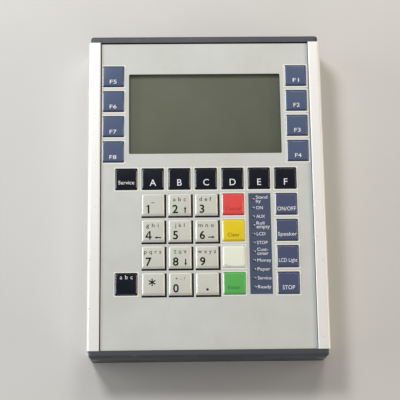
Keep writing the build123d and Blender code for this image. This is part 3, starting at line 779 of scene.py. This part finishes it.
half = ARROW_LENGTH / 2
neck = half - ARROW_HEAD
ARROW = [(-half, -ARROW_WIDTH / 2), (neck, -ARROW_WIDTH / 2), (neck, -ARROW_HEAD / 2), (half, 0),
         (neck, ARROW_HEAD / 2), (neck, ARROW_WIDTH / 2), (-half, ARROW_WIDTH / 2)]
FLAG = upright_bar(-FLAG_REACH, -FLAG_HALF_WIDTH, FLAG_REACH, FLAG_HALF_WIDTH)
bar_top = FOUR_BAR + FOUR_STROKE
stem_end = FOUR_STEM + FOUR_STROKE
FOUR = [upright_bar(FOUR_STEM, 0, stem_end, DIGIT_HEIGHT),
        upright_bar(0, FOUR_BAR, FOUR_STEM, bar_top),
        upright_bar(stem_end, FOUR_BAR, FOUR_WIDTH, bar_top),
        [(0, bar_top), (FOUR_SLANT, bar_top), (FOUR_STEM, DIGIT_HEIGHT - FOUR_NOTCH),
         (FOUR_STEM, DIGIT_HEIGHT)]]


def add_outline(bm, place, angle, outline):
    """Adds a solid printed outline, turned by that many degrees."""
    turned = Matrix.Translation(place) @ Matrix.Rotation(radians(angle), 4, "Z")
    lift_print(bm, bm.faces.new([bm.verts.new(turned @ Vector((x, y, 0))) for x, y in outline]))


LETTER_FOOT = 2.3 * MM
LETTER_HEIGHT = 2.1 * MM
LETTER_SPACING = 1.7
LETTER_WEIGHT = 0.008
TAIL_HEIGHT = 0.7 * MM
TALL_HEIGHT = 0.9 * MM
SIGNS_HEIGHT = 2.6 * MM
SIGNS_WIDTH = 6.8 * MM
DASH_RISE = 1.4 * MM
DASH_SIZE = (2.1 * MM, 0.5 * MM, INK)
# the letters of a number key, with their width and how far right they sit, in millimetres
small_letters = {
    2: ("abc", 9.3, 0.0),
    3: ("def", 8.6, -0.6),
    4: ("ghi", 8.8, -0.4),
    5: ("jkl", 6.8, 0.0),
    6: ("mno", 11.0, -0.3),
    7: ("pqrs", 12.2, -0.3),
    8: ("tuv", 8.8, 0.2),
    9: ("wxyz", 13.2, 0.0),
}
for digit in range(10):
    node = "key_digit_%d" % digit
    middle = key_middle(node)
    digit_x = middle.x + DIGIT_X
    digit_foot = middle.y + DIGIT_FOOT
    bm = bmesh.new()
    if digit == 4:
        for stroke in FOUR:
            add_outline(bm, (digit_x - FOUR_WIDTH / 2, digit_foot, key_top), 0, stroke)
    else:
        add_words(bm, str(digit), digit_x, digit_foot, DIGIT_HEIGHT, level=key_top, middle=True,
                  weight=DIGIT_WEIGHT)
    if digit == 1:
        flag_place = (digit_x - FLAG_IN, digit_foot + DIGIT_HEIGHT - FLAG_DROP, key_top)
        add_outline(bm, flag_place, FLAG_TURN, FLAG)
    if digit in arrows:
        upright = arrows[digit] in (90, 270)
        spot = (middle.x + (ARROW_X if upright else ARROW_SIDE_X),
                middle.y + (ARROW_Y if upright else ARROW_SIDE_Y), key_top)
        add_outline(bm, spot, arrows[digit], ARROW)
    new_piece(node + "_number", bm, ink_black, node)
    bm = bmesh.new()
    letter_foot = middle.y + LETTER_FOOT
    if digit in small_letters:
        letters, width, shift = small_letters[digit]
        tail = TAIL_HEIGHT if any_of(letters, TAILED) else 0.0
        rising = TALL_HEIGHT if any_of(letters, TALL) else 0.0
        add_words(bm, letters, middle.x + shift * MM, letter_foot - tail,
                  LETTER_HEIGHT + rising + tail, width * MM, spacing=LETTER_SPACING,
                  level=key_top, middle=True, weight=LETTER_WEIGHT)
    elif digit == 0:
        add_words(bm, "+-/", middle.x, letter_foot, SIGNS_HEIGHT, SIGNS_WIDTH,
                  spacing=LETTER_SPACING, level=key_top, middle=True)
    else:
        add_block(bm, (middle.x, middle.y + DASH_RISE, key_top + INK / 2), DASH_SIZE)
    new_piece(node + "_letters", bm, ink_grey, node)

# words, centre across the key, foot from the key's middle, height and width, in millimetres
legends = {
    "key_service": ("Service", 0.1, -4.0, 2.7, 11.4, white_ink_and_highlight),
    "key_text_mode": ("abc", 0.2, 3.5, 2.9, 9.0, white_ink_and_highlight),
    "key_cancel": ("Cancel", 0.2, -4.6, 2.7, 11.2, ink_red),
    "key_clear": ("Clear", 0.1, -4.6, 2.7, 8.5, ink_olive),
    "key_enter": ("Enter", -0.3, -4.4, 2.7, 8.5, ink_green),
    "key_on_off": ("ON/OFF", 0.2, -5.1, 2.9, 13.2, white_ink_and_highlight),
    "key_speaker": ("Speaker", 0.2, -5.2, 3.5, 13.6, white_ink_and_highlight),
    "key_display_light": ("LCD Light", 0.1, -5.1, 3.5, 13.0, white_ink_and_highlight),
    "key_stop": ("STOP", 0.1, -4.8, 2.9, 8.8, white_ink_and_highlight),
}
for letter in "abcdef":
    legends["key_letter_" + letter] = (letter.upper(), 0.1, -5.2, 4.7, None, white_ink_and_highlight)
for number in range(1, 5):
    legends["key_f%d" % number] = ("F%d" % number, 0.3, -5.2, 2.9, 4.6, white_ink_and_highlight)
    legends["key_f%d" % (number + 4)] = ("F%d" % (number + 4), 0.0, -5.6, 2.9, 5.0, white_ink_and_highlight)
WIDE_SPACING = 1.9
for node, (words, across, foot, height, width, ink) in legends.items():
    middle = key_middle(node)
    spacing = WIDE_SPACING if node == "key_text_mode" else 1.0
    bm = bmesh.new()
    add_words(bm, words, middle.x + across * MM, middle.y + foot * MM, height * MM,
              width * MM if width else None, spacing=spacing, level=key_top, middle=True)
    new_piece(node + "_legend", bm, ink, node)

STAR_ARMS = 6
STAR_REACH = 2.65 * MM
STAR_BAR = 0.85 * MM
STAR_PLACE = (-0.75 * MM, 1.1 * MM)
middle = key_middle("key_star")
outline = []
for arm in range(STAR_ARMS):
    turn = radians(90 + 360 / STAR_ARMS * arm)
    for side in (-1, 1):
        outline.append((STAR_REACH * cos(turn) - side * STAR_BAR / 2 * sin(turn),
                        STAR_REACH * sin(turn) + side * STAR_BAR / 2 * cos(turn)))
    between = turn + pi / STAR_ARMS
    outline.append((STAR_BAR * cos(between), STAR_BAR * sin(between)))
bm = bmesh.new()
add_outline(bm, (middle.x + STAR_PLACE[0], middle.y + STAR_PLACE[1], key_top), 0, outline)
new_piece("key_star_legend", bm, ink_black, "key_star")

POINT_RADIUS = 0.9 * MM
POINT_DROP = 4.3 * MM
middle = key_middle("key_point")
bm = bmesh.new()
add_disc(bm, (middle.x, middle.y - POINT_DROP, key_top + INK / 2), POINT_RADIUS, INK)
new_piece("key_point_legend", bm, ink_black, "key_point")

# ---------------------------------------------------------------- room
# A plain pale bench top under a diffuser at the far left and a warmer window at the far
# right. Low strips on both sides catch the slopes of the keys, with a weak fill in front.
BENCH_REACH = 2.0
low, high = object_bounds()
bench_paint = finish("bench_pale", tint("cfcecb"), tint("c6c5c2"), 0.7, grain=300.0, blotch=3.0,
                     specks=0.0)[0]
bm = bmesh.new()
bmesh.ops.create_grid(bm, x_segments=1, y_segments=1, size=BENCH_REACH)
bmesh.ops.translate(bm, vec=(0, 0, low.z), verts=bm.verts)
mesh = bpy.data.meshes.new("bench")
bm.to_mesh(mesh)
bm.free()
mesh.materials.append(bench_paint)
bench = bpy.data.objects.new("bench", mesh)
bpy.context.scene.collection.objects.link(bench)


def soft_light(name, place, target, size, power, colour=(1, 1, 1)):
    """A rectangular lamp aimed at a target, with its size in metres and power in watts."""
    light = bpy.data.lights.new(name, "AREA")
    light.shape = "RECTANGLE"
    light.size, light.size_y = size
    light.energy = power
    light.color = colour
    lamp = bpy.data.objects.new(name, light)
    lamp.location = place
    lamp.rotation_euler = (Vector(target) - Vector(place)).to_track_quat("-Z", "Y").to_euler()
    bpy.context.scene.collection.objects.link(lamp)


soft_light("overhead_diffuser", (-0.5, 0.78, 1.05), (0, 0, 0), (0.34, 0.34), 10.3)
soft_light("far_window", (0.3, 0.95, 1.05), (0, 0, 0), (0.4, 0.3), 4.7, (1.0, 0.95, 0.86))
soft_light("left_strip", (-0.95, 0.1, 0.36), (0, 0, 0.02), (0.9, 0.1), 4.5)
soft_light("right_strip", (0.95, -0.05, 0.4), (0, 0, 0.02), (0.9, 0.12), 3.4, (1.0, 0.8, 0.56))
soft_light("near_fill", (0.1, -1.1, 0.5), (0, 0, 0), (0.9, 0.3), 1.2)

world = bpy.data.worlds.new("studio")
world.use_nodes = True
sky = world.node_tree.nodes["Background"]
sky.inputs["Color"].default_value = (0.9, 0.93, 1.0, 1.0)
sky.inputs["Strength"].default_value = 0.2
bpy.context.scene.world = world
bpy.context.scene.view_settings.view_transform = "Standard"

CAMERA_PLACE = (-0.022, -0.2065, 0.8642)
CAMERA_TURN = (13.52, -1.0, -0.75)
SENSOR_WIDTH = 36.0
FOCAL_LENGTH = 108.0
lens = bpy.data.cameras.new("viewer")
lens.sensor_width = SENSOR_WIDTH
lens.lens = FOCAL_LENGTH
viewer = bpy.data.objects.new("viewer", lens)
viewer.location = CAMERA_PLACE
viewer.rotation_euler = [radians(angle) for angle in CAMERA_TURN]
bpy.context.scene.collection.objects.link(viewer)
bpy.context.scene.camera = viewer
